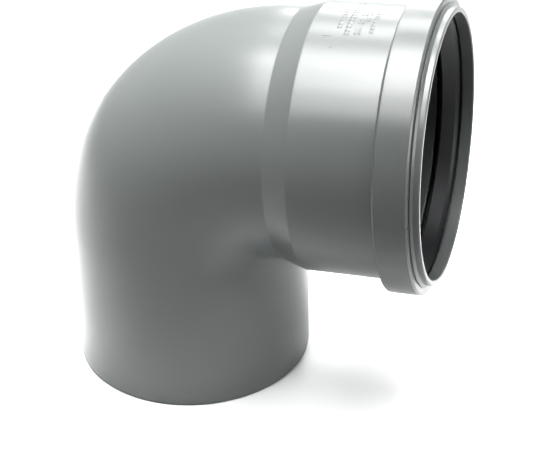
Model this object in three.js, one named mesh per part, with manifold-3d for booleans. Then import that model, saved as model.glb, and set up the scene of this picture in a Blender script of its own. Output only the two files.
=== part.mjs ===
// Push-fit drainage elbow for 110 mm pipe, turning 87.5 degrees.
// One end is a plain spigot, the other a ring-seal socket with a rubber lip seal held by a snap-in ring.
// Millimetres, +Z up along the spigot, the socket opens towards +X, the spigot's end stands on z = 0.
import * as THREE from "three";
import { mergeVertices } from "three/addons/utils/BufferGeometryUtils.js";
import Module from "manifold-3d";

const wasm = await Module();
wasm.setup();

// Driving dimensions
const PIPE_RADIUS = 55;
const WALL = 3.2;
const SPIGOT_LENGTH = 66.4;
const BEND_RADIUS = 51.4;
const TURN = THREE.MathUtils.degToRad(87.5);
const THROAT_FILLET = 3;
const SOCKET_RADIUS = 58.35;
const SOCKET_BORE = 55.3;
const COLLAR_RADIUS = 63.5;
const COLLAR_FRONT = 65.8;
const MOUTH_END = 69.7;
const MOUTH_RADIUS = 56.5;
const GAP = 0.3;

// Fineness of the faceted skins
const AROUND = 64;
const BEND_STEPS = 15;

const BORE_RADIUS = PIPE_RADIUS - WALL;
const SPIGOT_BEVEL = 0.6;

// Stations are distances along the neck axis from the end of the bend, and radii are from that axis.
const TAPER_START = 4.4;
const TAPER_END = 15.2;
const GROOVE = { rear: 53.1, front: 63.8, radius: 60.4 };
const FRONT_BORE = 59.6;

// Outside of the socket: taper, parallel run, ramp up to the collar, collar with a bevelled front edge.
const NECK_OUTSIDE = [
  [TAPER_START, PIPE_RADIUS],
  [TAPER_END, SOCKET_RADIUS],
  [50.7, SOCKET_RADIUS],
  [51.9, COLLAR_RADIUS - 0.5],
  [52.3, COLLAR_RADIUS],
  [COLLAR_FRONT - 0.75, COLLAR_RADIUS],
  [COLLAR_FRONT, COLLAR_RADIUS - 0.9],
];

// Inside of the socket, from the mouth back to the bend: front wall, seal groove, bore, pipe stop.
const NECK_INSIDE = [
  [COLLAR_FRONT, FRONT_BORE],
  [GROOVE.front, FRONT_BORE],
  [GROOVE.front, GROOVE.radius],
  [GROOVE.rear, GROOVE.radius],
  [GROOVE.rear, SOCKET_BORE + 0.4],
  [GROOVE.rear - 0.4, SOCKET_BORE],
  [15.5, SOCKET_BORE],
  [15.5, BORE_RADIUS + 1.2],
  [TAPER_START, BORE_RADIUS],
];

// The neck frame: where the bend ends, and the directions along the socket and towards the throat.
const bendEnd = new THREE.Vector3(
  BEND_RADIUS * (1 - Math.cos(TURN)),
  0,
  SPIGOT_LENGTH + BEND_RADIUS * Math.sin(TURN),
);
const neckAxis = new THREE.Vector3(Math.sin(TURN), 0, Math.cos(TURN));
const neckInward = new THREE.Vector3(Math.cos(TURN), 0, -Math.sin(TURN));
const neckSide = new THREE.Vector3(0, 1, 0);

function onNeck(station, inward, side) {
  return bendEnd
    .clone()
    .addScaledVector(neckAxis, station)
    .addScaledVector(neckInward, inward)
    .addScaledVector(neckSide, side);
}

// Rounds off the larger of two numbers where they are close.
function softMax(value, least) {
  const softness = 1.5;
  return least + softness * Math.log1p(Math.exp((value - least) / softness));
}

// A flow line runs along the wall at one angle round the pipe, 0 on the throat side.
// The pipe is fatter than its bend is tight, so the lines near the throat turn on a fillet of their own,
// and leave the spigot and join the neck earlier than the centre line does.
function flowLine(radius, fillet, around) {
  const offset = radius * Math.cos(around);
  const tightness = BEND_RADIUS - offset;
  const turnRadius = softMax(tightness, fillet);
  const lead = (turnRadius - tightness) * Math.tan(TURN / 2);
  return { around, offset, side: radius * Math.sin(around), turnRadius, lead };
}

function spigotPoint(line, height, radiusChange) {
  return new THREE.Vector3(
    line.offset + radiusChange * Math.cos(line.around),
    line.side + radiusChange * Math.sin(line.around),
    height,
  );
}

// The bend runs from the spigot to the taper's start, which cuts the throat's fillet short.
function bendPoint(line, share) {
  const cutShort = Math.asin(Math.max(0, line.lead - TAPER_START) / line.turnRadius);
  const angle = share * (TURN - cutShort);
  return new THREE.Vector3(
    line.offset + line.turnRadius * (1 - Math.cos(angle)),
    line.side,
    SPIGOT_LENGTH - line.lead + line.turnRadius * Math.sin(angle),
  );
}

function neckPoint(line, station, radiusChange) {
  const before = Math.max(0, line.lead - station);
  const fillet = line.turnRadius - Math.sqrt(line.turnRadius ** 2 - before ** 2);
  return onNeck(
    station,
    line.offset + fillet + radiusChange * Math.cos(line.around),
    line.side + radiusChange * Math.sin(line.around),
  );
}

// Builds a closed skin from rings of points, each ring joined to the next and the last to the first.
function closedSkin(rings) {
  const corners = rings.flat().flatMap((point) => point.toArray());
  const index = [];
  const corner = (ring, step) => (ring % rings.length) * AROUND + (step % AROUND);
  for (let ring = 0; ring < rings.length; ring += 1) {
    for (let step = 0; step < AROUND; step += 1) {
      const a = corner(ring, step);
      const b = corner(ring, step + 1);
      const c = corner(ring + 1, step + 1);
      const d = corner(ring + 1, step);
      index.push(a, b, c, a, c, d);
    }
  }
  const geometry = new THREE.BufferGeometry();
  geometry.setAttribute("position", new THREE.Float32BufferAttribute(corners, 3));
  geometry.setIndex(index);
  return geometry;
}

// The elbow's wall: up the outside from the spigot's end to the collar, then back down the inside.
function elbowWall() {
  const lines = (radius, fillet) =>
    Array.from({ length: AROUND }, (_, step) => flowLine(radius, fillet, (step / AROUND) * 2 * Math.PI));
  const outside = lines(PIPE_RADIUS, THROAT_FILLET);
  const inside = lines(BORE_RADIUS, THROAT_FILLET + WALL);
  const bend = (set) =>
    Array.from({ length: BEND_STEPS }, (_, step) => set.map((line) => bendPoint(line, step / BEND_STEPS)));
  const neck = (set, profile, radius) =>
    profile.map(([station, at]) => set.map((line) => neckPoint(line, station, at - radius)));
  return closedSkin([
    outside.map((line) => spigotPoint(line, 0, -SPIGOT_BEVEL)),
    outside.map((line) => spigotPoint(line, SPIGOT_BEVEL, 0)),
    ...bend(outside),
    ...neck(outside, NECK_OUTSIDE, PIPE_RADIUS),
    ...neck(inside, NECK_INSIDE, BORE_RADIUS),
    ...bend(inside).reverse(),
    inside.map((line) => spigotPoint(line, 0, 0)),
  ]);
}

// Boolean joining, for the raised marks on the socket.
function toSolid(geometry) {
  const bare = geometry.clone();
  bare.deleteAttribute("normal");
  bare.deleteAttribute("uv");
  const merged = mergeVertices(bare, 1e-4);
  return new wasm.Manifold(
    new wasm.Mesh({
      numProp: 3,
      vertProperties: new Float32Array(merged.attributes.position.array),
      triVerts: new Uint32Array(merged.index.array),
    }),
  );
}

function toGeometry(solid) {
  const mesh = solid.getMesh();
  const geometry = new THREE.BufferGeometry();
  geometry.setAttribute("position", new THREE.BufferAttribute(mesh.vertProperties, 3));
  geometry.setIndex(new THREE.BufferAttribute(mesh.triVerts, 1));
  return geometry;
}

// A raised dash on the socket: angles run from the top of the socket towards its -Y side.
const MARK_ROOT = 1;
const MARK_HEIGHT = 0.35;

function raisedDash({ station, length, degrees, width }) {
  const dash = new THREE.BoxGeometry(MARK_ROOT + MARK_HEIGHT, width, length);
  dash.translate(SOCKET_RADIUS + (MARK_HEIGHT - MARK_ROOT) / 2, 0, station + length / 2);
  dash.rotateZ(Math.PI + THREE.MathUtils.degToRad(degrees));
  dash.rotateY(TURN);
  dash.translate(...bendEnd.toArray());
  return dash;
}

// Plain dashes in rows round the socket stand where such a fitting carries its moulded size and class
// marks. Each row runs between two angles, and a short tick lies along the socket beside them.
const DASH_SHARE = 0.8;
const MARK_ROWS = [
  { station: 26.2, length: 2.0, from: -6, to: 14, count: 3 },
  { station: 29.8, length: 2.4, from: -13, to: 18, count: 4 },
  { station: 34.0, length: 3.6, from: -3, to: 18, count: 3 },
  { station: 39.4, length: 2.0, from: -8, to: 16, count: 3 },
];
const TICK = { station: 21.8, length: 3.6, degrees: 18.5, width: 0.9 };

function marks() {
  const dashes = MARK_ROWS.flatMap(({ station, length, from, to, count }) => {
    const pitch = (to - from) / count;
    const width = DASH_SHARE * THREE.MathUtils.degToRad(pitch) * SOCKET_RADIUS;
    return Array.from({ length: count }, (_, step) => ({
      station,
      length,
      width,
      degrees: from + (step + 0.5) * pitch,
    }));
  });
  return [...dashes, TICK];
}

function elbowBody() {
  let solid = toSolid(elbowWall());
  for (const mark of marks()) {
    solid = solid.add(toSolid(raisedDash(mark)));
  }
  return toGeometry(solid);
}

// A ring turned about the neck axis from a closed outline of [station, radius] corners, which runs
// towards the mouth on the outside and back on the inside.
function neckRing(outline) {
  const profile = [...outline, outline[0]].map(([station, radius]) => new THREE.Vector2(radius, station));
  const geometry = new THREE.LatheGeometry(profile, AROUND);
  geometry.rotateX(Math.PI / 2);
  return geometry;
}

// The rubber seal fills the groove: a solid heel against the groove's floor, and a lip that leans
// inwards and back, so that an entering pipe wipes past it and pressure closes it.
const LIP_TIP_RADIUS = 52.6;
const SKIRT_RADIUS = 58.4;
const SEAL_OUTLINE = [
  [GROOVE.rear + GAP, GROOVE.radius - 1.0],
  [GROOVE.rear + GAP + 0.7, GROOVE.radius - GAP],
  [61.8, GROOVE.radius - GAP],
  [62.3, GROOVE.radius - 0.8],
  [62.3, SKIRT_RADIUS - GAP],
  [63.4, SKIRT_RADIUS - GAP],
  [63.4, 57.1],
  [61.6, 55.4],
  [56.2, LIP_TIP_RADIUS],
  [55.6, LIP_TIP_RADIUS],
  [55.4, 53.2],
  [59.4, 56.6],
  [58.6, 57.4],
  [GROOVE.rear + GAP, 57.0],
];

// The retaining ring forms the lip round the mouth. A skirt behind it passes through the collar's front
// wall and hooks behind it, and a small flange rests on the wall's front face.
const SKIRT_OUTSIDE = FRONT_BORE - GAP;
const HOOK_RADIUS = GROOVE.radius - GAP;
const FLANGE_REAR = COLLAR_FRONT + GAP;
const RING_OUTLINE = [
  [62.6, SKIRT_RADIUS],
  [62.6, SKIRT_OUTSIDE + 0.4],
  [62.9, HOOK_RADIUS],
  [63.3, HOOK_RADIUS],
  [GROOVE.front - GAP, SKIRT_OUTSIDE],
  [FLANGE_REAR, SKIRT_OUTSIDE],
  [FLANGE_REAR, 60.1],
  [66.6, 60.1],
  [67, 58.9],
  [MOUTH_END - 0.5, 58.8],
  [MOUTH_END, 58.3],
  [MOUTH_END, MOUTH_RADIUS + 0.4],
  [MOUTH_END - 0.5, MOUTH_RADIUS],
  [GROOVE.front + 0.7, MOUTH_RADIUS],
  [GROOVE.front + 0.3, MOUTH_RADIUS + 0.4],
  [GROOVE.front + 0.3, SKIRT_RADIUS],
];

function material(color, roughness) {
  return new THREE.MeshStandardMaterial({ color, roughness, metalness: 0 });
}

function part(name, geometry, look) {
  const mesh = new THREE.Mesh(geometry, look);
  mesh.name = name;
  return mesh;
}

const greyPlastic = material(0x868a88, 0.38);
const ringPlastic = material(0x838785, 0.4);
const blackRubber = material(0x202224, 0.6);

const neck = new THREE.Group();
neck.position.copy(bendEnd);
neck.rotation.y = TURN;
neck.add(part("lip_seal", neckRing(SEAL_OUTLINE), blackRubber));
neck.add(part("seal_retaining_ring", neckRing(RING_OUTLINE), ringPlastic));

// The origin is the middle of the footprint that the whole elbow covers.
const reach = onNeck(MOUTH_END, 58.3, 0).x;
const elbow = new THREE.Group();
elbow.position.x = (PIPE_RADIUS - reach) / 2;
elbow.add(part("elbow_body", elbowBody(), greyPlastic), neck);

export default elbow;
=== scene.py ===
"""Push-fit drainage elbow, 110 mm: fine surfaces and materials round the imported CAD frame."""
import math

import bpy
from mathutils import Matrix, Vector


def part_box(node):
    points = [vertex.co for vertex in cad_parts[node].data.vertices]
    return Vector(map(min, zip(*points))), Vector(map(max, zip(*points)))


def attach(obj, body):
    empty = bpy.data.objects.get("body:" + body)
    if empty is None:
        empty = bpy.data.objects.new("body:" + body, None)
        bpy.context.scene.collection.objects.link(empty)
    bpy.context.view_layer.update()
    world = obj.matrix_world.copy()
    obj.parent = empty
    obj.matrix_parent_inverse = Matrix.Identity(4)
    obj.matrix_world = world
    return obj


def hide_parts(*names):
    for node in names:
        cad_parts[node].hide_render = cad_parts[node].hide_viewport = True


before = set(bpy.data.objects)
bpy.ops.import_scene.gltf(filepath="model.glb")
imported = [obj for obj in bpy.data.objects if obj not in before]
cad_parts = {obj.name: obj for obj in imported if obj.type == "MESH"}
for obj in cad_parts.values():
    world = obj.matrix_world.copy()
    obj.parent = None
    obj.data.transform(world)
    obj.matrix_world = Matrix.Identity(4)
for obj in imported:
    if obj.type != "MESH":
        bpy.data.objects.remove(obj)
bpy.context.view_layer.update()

MM = 0.001

# Shape, in millimetres, as the CAD model has it
PIPE_RADIUS = 55.0
BORE_RADIUS = 51.8
SPIGOT_LENGTH = 66.4
BEND_RADIUS = 51.4
TURN = math.radians(87.5)
THROAT_FILLET = 3.0
SOCKET_RADIUS = 58.35
SOCKET_BORE = 55.3
COLLAR_RADIUS = 63.5
COLLAR_FRONT = 65.8
MOUTH_END = 69.7
MOUTH_RADIUS = 56.5
GROOVE_REAR = 53.1
GROOVE_FRONT = 63.8
GROOVE_RADIUS = 60.4
FRONT_BORE = 59.6
SKIRT_RADIUS = 58.4
GAP = 0.3

# Fineness
AROUND = 256
BEND_STEPS = 80
ARC_STEPS = 5

# The spigot's axis is one pipe radius in from the back of the body.
SPIGOT_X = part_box("elbow_body")[0].x / MM + PIPE_RADIUS
BEND_END = Vector((
    SPIGOT_X + BEND_RADIUS * (1 - math.cos(TURN)),
    0,
    SPIGOT_LENGTH + BEND_RADIUS * math.sin(TURN),
))
NECK_AXIS = Vector((math.sin(TURN), 0, math.cos(TURN)))
NECK_INWARD = Vector((math.cos(TURN), 0, -math.sin(TURN)))
NECK_SIDE = Vector((0, 1, 0))

# Where the flow lines' bends stop and the socket's flat rings start, the rings' spacing on the taper and
# where it ends, and how softly the throat's fillet takes over from the bend
NECK_START = 3.5
TAPER_SPACING = 0.6
TAPER_END = 15.6
THROAT_SOFTNESS = 1.5

# Outlines are (station along the axis, radius, fillet) corners.
SPIGOT_END = [
    (9.0, BORE_RADIUS, 0),
    (0.0, BORE_RADIUS, 0.35),
    (0.0, 54.4, 0.25),
    (0.6, PIPE_RADIUS, 0.6),
    (9.0, PIPE_RADIUS, 0),
]
NECK_OUTSIDE = [
    (2.0, PIPE_RADIUS, 0),
    (4.4, PIPE_RADIUS, 2.0),
    (15.2, SOCKET_RADIUS, 2.5),
    (50.7, SOCKET_RADIUS, 0.6),
    (52.0, COLLAR_RADIUS, 0.6),
    (COLLAR_FRONT - 0.75, COLLAR_RADIUS, 0.35),
    (COLLAR_FRONT, COLLAR_RADIUS - 0.9, 0.35),
    (COLLAR_FRONT, FRONT_BORE, 0.12),
    (65.0, FRONT_BORE, 0),
]
NECK_INSIDE = [
    (65.0, FRONT_BORE, 0),
    (GROOVE_FRONT, FRONT_BORE, 0.15),
    (GROOVE_FRONT, GROOVE_RADIUS, 0.2),
    (GROOVE_REAR, GROOVE_RADIUS, 0.6),
    (GROOVE_REAR, SOCKET_BORE + 0.4, 0.3),
    (GROOVE_REAR - 0.4, SOCKET_BORE, 0.3),
    (15.5, SOCKET_BORE, 0.8),
    (15.5, BORE_RADIUS + 1.2, 0.6),
    (4.4, BORE_RADIUS, 4.5),
    (2.0, BORE_RADIUS, 0),
]
SEAL = [
    (GROOVE_REAR + GAP, 57.0, 0.4),
    (GROOVE_REAR + GAP, 59.4, 0.4),
    (54.1, GROOVE_RADIUS - GAP, 0.4),
    (62.3, GROOVE_RADIUS - GAP, 0.4),
    (62.3, SKIRT_RADIUS - GAP, 0.2),
    (63.4, SKIRT_RADIUS - GAP, 0.2),
    (63.4, 57.1, 0.6),
    (61.6, 55.4, 1.2),
    (56.2, 52.6, 0.5),
    (55.4, 52.6, 0.4),
    (55.4, 53.4, 0.4),
    (59.4, 56.6, 0.5),
    (58.6, 57.4, 0.6),
]
SKIRT_OUTSIDE = FRONT_BORE - 0.15
HOOK_RADIUS = GROOVE_RADIUS - GAP
FLANGE_REAR = COLLAR_FRONT + 0.05
RING = [
    (62.6, SKIRT_RADIUS, 0.1),
    (62.6, HOOK_RADIUS, 0.3),
    (63.4, HOOK_RADIUS, 0.2),
    (GROOVE_FRONT - 0.2, SKIRT_OUTSIDE, 0.1),
    (FLANGE_REAR, SKIRT_OUTSIDE, 0.08),
    (FLANGE_REAR, 60.1, 0.08),
    (66.2, 60.1, 0.15),
    (67.2, 58.9, 0.5),
    (MOUTH_END - 0.45, 58.8, 0.3),
    (MOUTH_END, 58.35, 0.25),
    (MOUTH_END, MOUTH_RADIUS + 0.35, 0.25),
    (MOUTH_END - 0.35, MOUTH_RADIUS, 0.25),
    (GROOVE_FRONT + 0.7, MOUTH_RADIUS, 0.3),
    (GROOVE_FRONT + 0.3, MOUTH_RADIUS + 0.4, 0.2),
    (GROOVE_FRONT + 0.3, SKIRT_RADIUS, 0.1),
]


def arc_corner(before, here, after, fillet):
    """One corner rounded to an arc, with a point just past each end so that flats shade flat."""
    back = before - here
    on = after - here
    half = back.angle(on) / 2
    reach = min(fillet / math.tan(half), 0.42 * back.length, 0.42 * on.length)
    centre = here + (back.normalized() + on.normalized()).normalized() * (reach / math.cos(half))
    start = here + back.normalized() * reach - centre
    side = start.x * (here - centre).y - start.y * (here - centre).x
    sweep = math.copysign(math.pi - 2 * half, side)
    spare = min(0.3 * reach + 0.05, 0.07 * back.length, 0.07 * on.length)
    points = [here + back.normalized() * (reach + spare)]
    for step in range(ARC_STEPS + 1):
        points.append(centre + Matrix.Rotation(sweep * step / ARC_STEPS, 2) @ start)
    points.append(here + on.normalized() * (reach + spare))
    return points


def rounded(outline, closed=False):
    """The outline's points as (station, radius) pairs, with every filleted corner as an arc."""
    corners = [Vector(corner[:2]) for corner in outline]
    points = []
    for index, (station, radius, fillet) in enumerate(outline):
        if fillet == 0:
            points.append(corners[index])
            continue
        after = corners[(index + 1) % len(corners)]
        points.extend(arc_corner(corners[index - 1], corners[index], after, fillet))
    return [tuple(point) for point in points]


def on_taper(points):
    """Neck outline points with more of them on the long taper, where the throat's fillet runs out."""
    closer = [points[0]]
    for (s0, r0), (s1, r1) in zip(points, points[1:]):
        pieces = math.ceil(abs(s1 - s0) / TAPER_SPACING) if max(s0, s1) < TAPER_END else 1
        for k in range(1, pieces + 1):
            closer.append((s0 + (s1 - s0) * k / pieces, r0 + (r1 - r0) * k / pieces))
    return closer


def soft_max(value, least):
    """The larger of two numbers, rounded off where they are close."""
    return least + THROAT_SOFTNESS * math.log1p(math.exp((value - least) / THROAT_SOFTNESS))


def flow_line(radius, fillet, around):
    """A line along the wall at one angle round the pipe, 0 on the throat side.

    The pipe is fatter than its bend is tight, so lines near the throat turn on a fillet of their own,
    and leave the spigot and join the neck earlier than the centre line does.
    """
    offset = radius * math.cos(around)
    tightness = BEND_RADIUS - offset
    turn_radius = soft_max(tightness, fillet)
    return {
        "around": around,
        "offset": offset,
        "side": radius * math.sin(around),
        "turn_radius": turn_radius,
        "lead": (turn_radius - tightness) * math.tan(TURN / 2),
    }


def angles():
    return [2 * math.pi * step / AROUND for step in range(AROUND)]


def flow_lines(radius, fillet):
    return [flow_line(radius, fillet, around) for around in angles()]


def bend_point(line, share):
    cut_short = math.asin(max(0.0, line["lead"] - NECK_START) / line["turn_radius"])
    angle = share * (TURN - cut_short)
    return Vector((
        SPIGOT_X + line["offset"] + line["turn_radius"] * (1 - math.cos(angle)),
        line["side"],
        SPIGOT_LENGTH - line["lead"] + line["turn_radius"] * math.sin(angle),
    ))


def on_neck(station, inward, side):
    return BEND_END + NECK_AXIS * station + NECK_INWARD * inward + NECK_SIDE * side


def neck_point(line, station, radius_change):
    before = max(0.0, line["lead"] - station)
    fillet = line["turn_radius"] - math.sqrt(line["turn_radius"] ** 2 - before ** 2)
    inward = line["offset"] + fillet + radius_change * math.cos(line["around"])
    return on_neck(station, inward, line["side"] + radius_change * math.sin(line["around"]))


def spigot_ring(height, radius):
    return [
        Vector((SPIGOT_X + radius * math.cos(around), radius * math.sin(around), height))
        for around in angles()
    ]


def neck_ring(station, radius):
    return [on_neck(station, radius * math.cos(a), radius * math.sin(a)) for a in angles()]


def ring_faces(rings, start=0):
    """Quads between each ring and the next, the last joining the first, for rings of one length."""
    count = len(rings[0])
    faces = []
    for ring in range(len(rings)):
        here = start + ring * count
        there = start + (ring + 1) % len(rings) * count
        for step in range(count):
            following = (step + 1) % count
            faces.append((here + step, here + following, there + following, there + step))
    return faces


def make_piece(name, vertices, faces, material, nodes=()):
    """A smooth-shaded mesh in metres that rides on the part's one body."""
    mesh = bpy.data.meshes.new(name)
    mesh.from_pydata([tuple(v * MM) for v in vertices], [], faces)
    mesh.validate()
    mesh.polygons.foreach_set("use_smooth", [True] * len(mesh.polygons))
    mesh.materials.append(material)
    piece = bpy.data.objects.new(name, mesh)
    bpy.context.scene.collection.objects.link(piece)
    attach(piece, "root")
    if nodes:
        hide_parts(*nodes)


def body_rings():
    """The elbow's wall: round the spigot's end, up the outside, round the collar and down the inside."""
    outside = flow_lines(PIPE_RADIUS, THROAT_FILLET)
    inside = flow_lines(BORE_RADIUS, THROAT_FILLET + PIPE_RADIUS - BORE_RADIUS)
    rings = [spigot_ring(height, radius) for height, radius in rounded(SPIGOT_END)]
    shares = [step / BEND_STEPS for step in range(BEND_STEPS)]
    rings += [[bend_point(line, share) for line in outside] for share in shares]
    rings += [
        [neck_point(line, station, radius - PIPE_RADIUS) for line in outside]
        for station, radius in on_taper(rounded(NECK_OUTSIDE)[1:])
    ]
    rings += [
        [neck_point(line, station, radius - BORE_RADIUS) for line in inside]
        for station, radius in on_taper(rounded(NECK_INSIDE)[1:-1])
    ]
    rings += [[bend_point(line, share) for line in inside] for share in reversed(shares)]
    return rings


def noise(nodes, links, coordinates, scale, detail):
    node = nodes.new("ShaderNodeTexNoise")
    node.inputs["Scale"].default_value = scale
    node.inputs["Detail"].default_value = detail
    links.new(coordinates, node.inputs["Vector"])
    return node.outputs["Fac"]


# Most of a noise texture's values lie between these two.
NOISE_LOW = 0.3
NOISE_HIGH = 0.7


def spread(nodes, links, value, low, high):
    """Maps a noise value to the range from low to high."""
    node = nodes.new("ShaderNodeMapRange")
    node.inputs["From Min"].default_value = NOISE_LOW
    node.inputs["From Max"].default_value = NOISE_HIGH
    node.inputs["To Min"].default_value = low
    node.inputs["To Max"].default_value = high
    links.new(value, node.inputs["Value"])
    return node.outputs["Result"]


def bump(nodes, links, height, strength, distance):
    node = nodes.new("ShaderNodeBump")
    node.inputs["Strength"].default_value = strength
    node.inputs["Distance"].default_value = distance
    links.new(height, node.inputs["Height"])
    return node.outputs["Normal"]


def blank_material(name):
    material = bpy.data.materials.new(name)
    material.use_nodes = True
    nodes = material.node_tree.nodes
    links = material.node_tree.links
    shader = nodes["Principled BSDF"]
    coordinates = nodes.new("ShaderNodeTexCoord").outputs["Object"]
    return material, nodes, links, shader, coordinates


def blend_colours(nodes, links, factor, first, second):
    node = nodes.new("ShaderNodeMix")
    node.data_type = "RGBA"
    links.new(factor, node.inputs["Factor"])
    node.inputs["A"].default_value = (*first, 1)
    node.inputs["B"].default_value = (*second, 1)
    return node.outputs["Result"]


# Materials: colours, noise scales per metre, bump distances in metres
PLASTIC_GREY = (0.136, 0.145, 0.142)
PLASTIC_ROUGHNESS = 0.295
PLASTIC_IOR = 1.5
CLOUD_SCALE = 14
CLOUD_CHANGE = 0.03
POLISH_SCALE = 40
POLISH_CHANGE = 0.01
WAVE_SCALE = 18
WAVE_STRENGTH = 0.1
WAVE_DISTANCE = 0.0004
RUBBER_BLACK = (0.014, 0.0145, 0.016)
RUBBER_BLOOM = (0.030, 0.031, 0.033)
RUBBER_ROUGHNESS = (0.42, 0.56)
RUBBER_IOR = 1.52
BLOOM_SCALE = 60
GRAIN_SCALE = 1100
RUBBER_DETAIL = 4
GRAIN_STRENGTH = 0.25
GRAIN_DISTANCE = 0.0001


def moulded_plastic(name):
    """Satin grey plastic: faint flow clouds in the colour, slow waves in the surface and uneven polish."""
    material, nodes, links, shader, coordinates = blank_material(name)
    clouds = noise(nodes, links, coordinates, CLOUD_SCALE, 1)
    darker = tuple((1 - CLOUD_CHANGE) * c for c in PLASTIC_GREY)
    lighter = tuple((1 + CLOUD_CHANGE) * c for c in PLASTIC_GREY)
    links.new(blend_colours(nodes, links, clouds, darker, lighter), shader.inputs["Base Color"])
    polish = noise(nodes, links, coordinates, POLISH_SCALE, 1)
    low, high = PLASTIC_ROUGHNESS - POLISH_CHANGE, PLASTIC_ROUGHNESS + POLISH_CHANGE
    links.new(spread(nodes, links, polish, low, high), shader.inputs["Roughness"])
    shader.inputs["IOR"].default_value = PLASTIC_IOR
    waves = noise(nodes, links, coordinates, WAVE_SCALE, 1)
    links.new(bump(nodes, links, waves, WAVE_STRENGTH, WAVE_DISTANCE), shader.inputs["Normal"])
    return material


def moulded_rubber(name):
    """Black rubber with a dull bloom and a fine grain."""
    material, nodes, links, shader, coordinates = blank_material(name)
    bloom = noise(nodes, links, coordinates, BLOOM_SCALE, RUBBER_DETAIL)
    colour = blend_colours(nodes, links, bloom, RUBBER_BLACK, RUBBER_BLOOM)
    links.new(colour, shader.inputs["Base Color"])
    links.new(spread(nodes, links, bloom, *RUBBER_ROUGHNESS), shader.inputs["Roughness"])
    shader.inputs["IOR"].default_value = RUBBER_IOR
    grain = noise(nodes, links, coordinates, GRAIN_SCALE, RUBBER_DETAIL)
    links.new(bump(nodes, links, grain, GRAIN_STRENGTH, GRAIN_DISTANCE), shader.inputs["Normal"])
    return material


# Rows of plain raised dashes round the socket: station, axial length, from and to in degrees from the top
# towards -Y, and how many dashes, in millimetres and degrees.
MARK_ROWS = [
    (26.4, 1.7, -6.0, 14.0, 8),
    (29.9, 2.1, -13.0, 18.0, 13),
    (34.0, 1.0, -3.0, 18.0, 3),
    (35.6, 1.0, -3.0, 18.0, 3),
    (37.2, 1.0, -3.0, 9.0, 2),
    (39.9, 1.7, -8.0, 16.0, 10),
]
DASH_SHARE = 0.7
DASH_STEPS = 4
DASH_HEIGHT = 0.16
DASH_ROOT = 0.3
DASH_BEVEL = 0.14
BEVEL_BREAK = 0.3

# Two lone marks: station, axial length, degrees and width
TICK = (21.8, 3.6, 18.5, 0.6)
DOT = (25.9, 0.9, 24.8, 0.9)


def dashes():
    """Every raised mark as (station, axial length, degrees, width)."""
    found = [TICK, DOT]
    for station, length, low, high, count in MARK_ROWS:
        pitch = (high - low) / count
        width = DASH_SHARE * math.radians(pitch) * SOCKET_RADIUS
        found += [(station, length, low + (k + 0.5) * pitch, width) for k in range(count)]
    return found


def dash_outline(station, length, middle, half, inset):
    """Corners of one dash's outline, pulled in by inset, with extra points along the curved sides."""
    low, high = station + inset, station + length - inset
    half -= inset / SOCKET_RADIUS
    along = [middle + half * (2 * k / DASH_STEPS - 1) for k in range(DASH_STEPS + 1)]
    return [(low, a) for a in along] + [(high, a) for a in reversed(along)]


def dash_mesh(dash, start):
    """A closed slab that follows the socket's curve, with its top edges bevelled."""
    station, length, degrees, width = dash
    middle = -math.radians(degrees)
    half = width / 2 / SOCKET_RADIUS
    levels = [
        (0.0, -DASH_ROOT),
        (0.0, DASH_HEIGHT - DASH_BEVEL),
        (BEVEL_BREAK * DASH_BEVEL, DASH_HEIGHT - BEVEL_BREAK * DASH_BEVEL),
        (DASH_BEVEL, DASH_HEIGHT),
    ]
    vertices = []
    for inset, lift in levels:
        for s, a in dash_outline(station, length, middle, half, inset):
            radius = SOCKET_RADIUS + lift
            vertices.append(on_neck(s, -radius * math.cos(a), radius * math.sin(a)))
    count = 2 * (DASH_STEPS + 1)
    faces = []
    for level in range(len(levels) - 1):
        for k in range(count):
            here = start + level * count + k
            following = start + level * count + (k + 1) % count
            faces.append((here, following, following + count, here + count))
    top = start + count * (len(levels) - 1)
    for k in range(DASH_STEPS):
        opposite = count - 1 - k
        faces.append((start + k + 1, start + k, start + opposite, start + opposite - 1))
        faces.append((top + k, top + k + 1, top + opposite - 1, top + opposite))
    return vertices, faces


# The nib that the moulding gate leaves on the collar's front bevel
NIB_STATION = 65.55
NIB_DEGREES = 93.7
NIB_RADIUS = 0.45
NIB_STEPS = 12
NIB_BASE = COLLAR_RADIUS - 0.3
NIB_LEVELS = [(1.0, -0.6), (1.0, 0.0), (0.8, 0.17), (0.4, 0.27)]


def nib_mesh(start):
    """A small closed dome: rings of points, each a share of the nib's radius, with a flat top and bottom."""
    middle = -math.radians(NIB_DEGREES)
    vertices = []
    for share, lift in NIB_LEVELS:
        for k in range(NIB_STEPS):
            turn = 2 * math.pi * k / NIB_STEPS
            station = NIB_STATION + share * NIB_RADIUS * math.cos(turn)
            angle = middle + share * NIB_RADIUS * math.sin(turn) / COLLAR_RADIUS
            radius = NIB_BASE + lift
            vertices.append(on_neck(station, -radius * math.cos(angle), radius * math.sin(angle)))
    faces = []
    for level in range(len(NIB_LEVELS) - 1):
        for k in range(NIB_STEPS):
            here = start + level * NIB_STEPS + k
            following = start + level * NIB_STEPS + (k + 1) % NIB_STEPS
            faces.append((here, here + NIB_STEPS, following + NIB_STEPS, following))
    faces.append(tuple(start + k for k in range(NIB_STEPS)))
    top = start + (len(NIB_LEVELS) - 1) * NIB_STEPS
    faces.append(tuple(top + k for k in reversed(range(NIB_STEPS))))
    return vertices, faces


def build_marks(material):
    vertices, faces = nib_mesh(0)
    for dash in dashes():
        more_vertices, more_faces = dash_mesh(dash, len(vertices))
        vertices += more_vertices
        faces += more_faces
    make_piece("moulded_marks", vertices, faces, material)


grey = moulded_plastic("satin grey plastic")
ring_grey = moulded_plastic("satin grey ring plastic")
rubber = moulded_rubber("black rubber")

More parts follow.
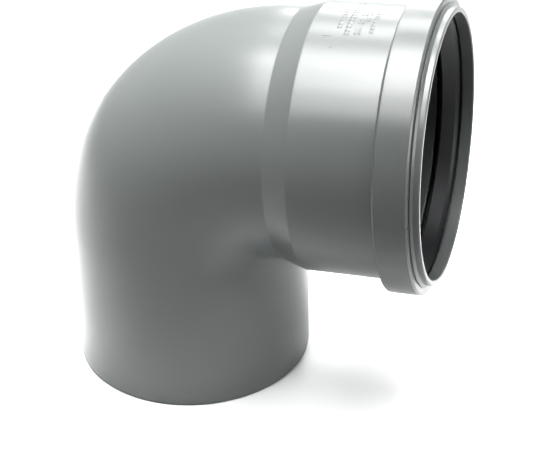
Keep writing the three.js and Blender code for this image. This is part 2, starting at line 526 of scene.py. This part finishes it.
rings = body_rings()
make_piece("moulded_elbow", sum(rings, []), ring_faces(rings), grey, ["elbow_body"])
rings = [neck_ring(station, radius) for station, radius in rounded(SEAL, closed=True)]
make_piece("rubber_lip_seal", sum(rings, []), ring_faces(rings), rubber, ["lip_seal"])
rings = [neck_ring(station, radius) for station, radius in rounded(RING, closed=True)]
make_piece("snap_ring", sum(rings, []), ring_faces(rings), ring_grey, ["seal_retaining_ring"])
build_marks(grey)


# Studio
def area_light(name, position, target, size, beam, brightness):
    light = bpy.data.lights.new(name, "AREA")
    light.shape = "RECTANGLE"
    light.size, light.size_y = size
    light.spread = math.radians(beam)
    light.energy = brightness * math.pi * size[0] * size[1]
    lamp = bpy.data.objects.new(name, light)
    lamp.visible_camera = False
    bpy.context.scene.collection.objects.link(lamp)
    lamp.location = position
    lamp.rotation_euler = (Vector(target) - Vector(position)).to_track_quat("-Z", "Y").to_euler()


# Softboxes round the object: name, place, aim, width and depth, beam in degrees, brightness
SOFTBOXES = [
    ("back", (0.0, 0.75, 0.45), (0.0, 0.0, 0.45), (0.45, 0.30), 180, 6.4),
    ("far_floor", (0.0, 1.1, 0.9), (0.0, 1.1, 0.0), (0.8, 0.5), 90, 2.5),
    ("over_left", (-0.34, 0.10, 0.75), (-0.34, 0.10, 0.0), (0.30, 0.30), 50, 4.6),
    ("over_middle", (-0.10, 0.12, 0.75), (-0.10, 0.12, 0.0), (0.22, 0.22), 50, 1.4),
    ("over_right", (0.30, 0.35, 0.75), (0.30, 0.35, 0.0), (0.30, 0.30), 50, 1.5),
    ("row_left", (-0.08, 0.0, 0.76), (-0.03, 0.1, 0.08), (0.22, 0.22), 42, 1.35),
    ("row_middle", (0.14, 0.0, 0.76), (0.06, 0.1, 0.08), (0.22, 0.22), 42, 1.0),
    ("row_right", (0.36, 0.0, 0.76), (0.14, 0.1, 0.08), (0.22, 0.22), 42, 0.7),
    ("rear", (-0.08, 0.42, 0.66), (-0.03, 0.1, 0.08), (0.22, 0.22), 42, 1.4),
    ("front_high", (-0.08, -0.18, 0.72), (-0.03, 0.1, 0.08), (0.22, 0.22), 42, 1.5),
    ("right", (0.8, 0.0, 0.22), (0.1, 0.0, 0.12), (0.40, 0.30), 90, 1.2),
    ("front_low", (-0.08, -0.35, 0.62), (-0.03, 0.1, 0.08), (0.22, 0.22), 42, 0.75),
]
for softbox in SOFTBOXES:
    area_light(*softbox)

# The studio's wall glows pale near the horizon and dims towards the ceiling
HORIZON_LIGHT = 0.4
CEILING_LIGHT = 0.04
GLOW_TOP = 0.15
GLOW_END = 0.45
world = bpy.data.worlds.new("studio")
world.use_nodes = True
world_nodes = world.node_tree.nodes
direction = world_nodes.new("ShaderNodeTexCoord").outputs["Generated"]
height = world_nodes.new("ShaderNodeSeparateXYZ")
glow = world_nodes.new("ShaderNodeMapRange")
glow.inputs["From Min"].default_value = GLOW_TOP
glow.inputs["From Max"].default_value = GLOW_END
glow.inputs["To Min"].default_value = HORIZON_LIGHT
glow.inputs["To Max"].default_value = CEILING_LIGHT
world.node_tree.links.new(direction, height.inputs["Vector"])
world.node_tree.links.new(height.outputs["Z"], glow.inputs["Value"])
world.node_tree.links.new(glow.outputs["Result"], world_nodes["Background"].inputs["Strength"])
world_nodes["Background"].inputs["Color"].default_value = (1, 1, 1, 1)
bpy.context.scene.world = world

# One even light straight down keeps the whole floor pale
OVERHEAD_LIGHT = 1.15
OVERHEAD_SOFTNESS = 40
overhead = bpy.data.objects.new("overhead", bpy.data.lights.new("overhead", "SUN"))
overhead.data.energy = OVERHEAD_LIGHT
overhead.data.angle = math.radians(OVERHEAD_SOFTNESS)
bpy.context.scene.collection.objects.link(overhead)

FLOOR_HALF = 6.0
FLOOR_WHITE = (0.9, 0.9, 0.9, 1)
FLOOR_ROUGHNESS = 0.6
floor_mesh = bpy.data.meshes.new("floor")
floor_mesh.from_pydata(
    [(x * FLOOR_HALF, y * FLOOR_HALF, 0) for x, y in ((-1, -1), (1, -1), (1, 1), (-1, 1))],
    [], [(0, 1, 2, 3)],
)
floor = bpy.data.objects.new("floor", floor_mesh)
bpy.context.scene.collection.objects.link(floor)
floor_material, _, _, floor_shader, _ = blank_material("white floor")
floor_shader.inputs["Base Color"].default_value = FLOOR_WHITE
floor_shader.inputs["Roughness"].default_value = FLOOR_ROUGHNESS
floor_mesh.materials.append(floor_material)

# Camera at the photograph's viewing angle
CAMERA_AZIMUTH = math.radians(17.68)
CAMERA_ELEVATION = math.radians(31.25)
CAMERA_ROLL = math.radians(0.81)
CAMERA_DISTANCE = 0.643
CAMERA_SENSOR = 36.0
CAMERA_LENS = 94.17
CAMERA_NEAR = 0.01
CAMERA_TARGET = Vector((0.0107, -0.0080, 0.0746))
camera_data = bpy.data.cameras.new("camera")
camera_data.sensor_width = CAMERA_SENSOR
camera_data.lens = CAMERA_LENS
camera_data.clip_start = CAMERA_NEAR
camera = bpy.data.objects.new("camera", camera_data)
bpy.context.scene.collection.objects.link(camera)
towards_camera = Vector((
    math.sin(CAMERA_AZIMUTH) * math.cos(CAMERA_ELEVATION),
    -math.cos(CAMERA_AZIMUTH) * math.cos(CAMERA_ELEVATION),
    math.sin(CAMERA_ELEVATION),
))
camera.location = CAMERA_TARGET + CAMERA_DISTANCE * towards_camera
aim = (-towards_camera).to_track_quat("-Z", "Y")
camera.rotation_euler = (aim.to_matrix() @ Matrix.Rotation(-CAMERA_ROLL, 3, "Z")).to_euler()
bpy.context.scene.camera = camera
bpy.context.scene.view_settings.view_transform = "Standard"
bpy.context.scene.view_settings.look = "High Contrast"
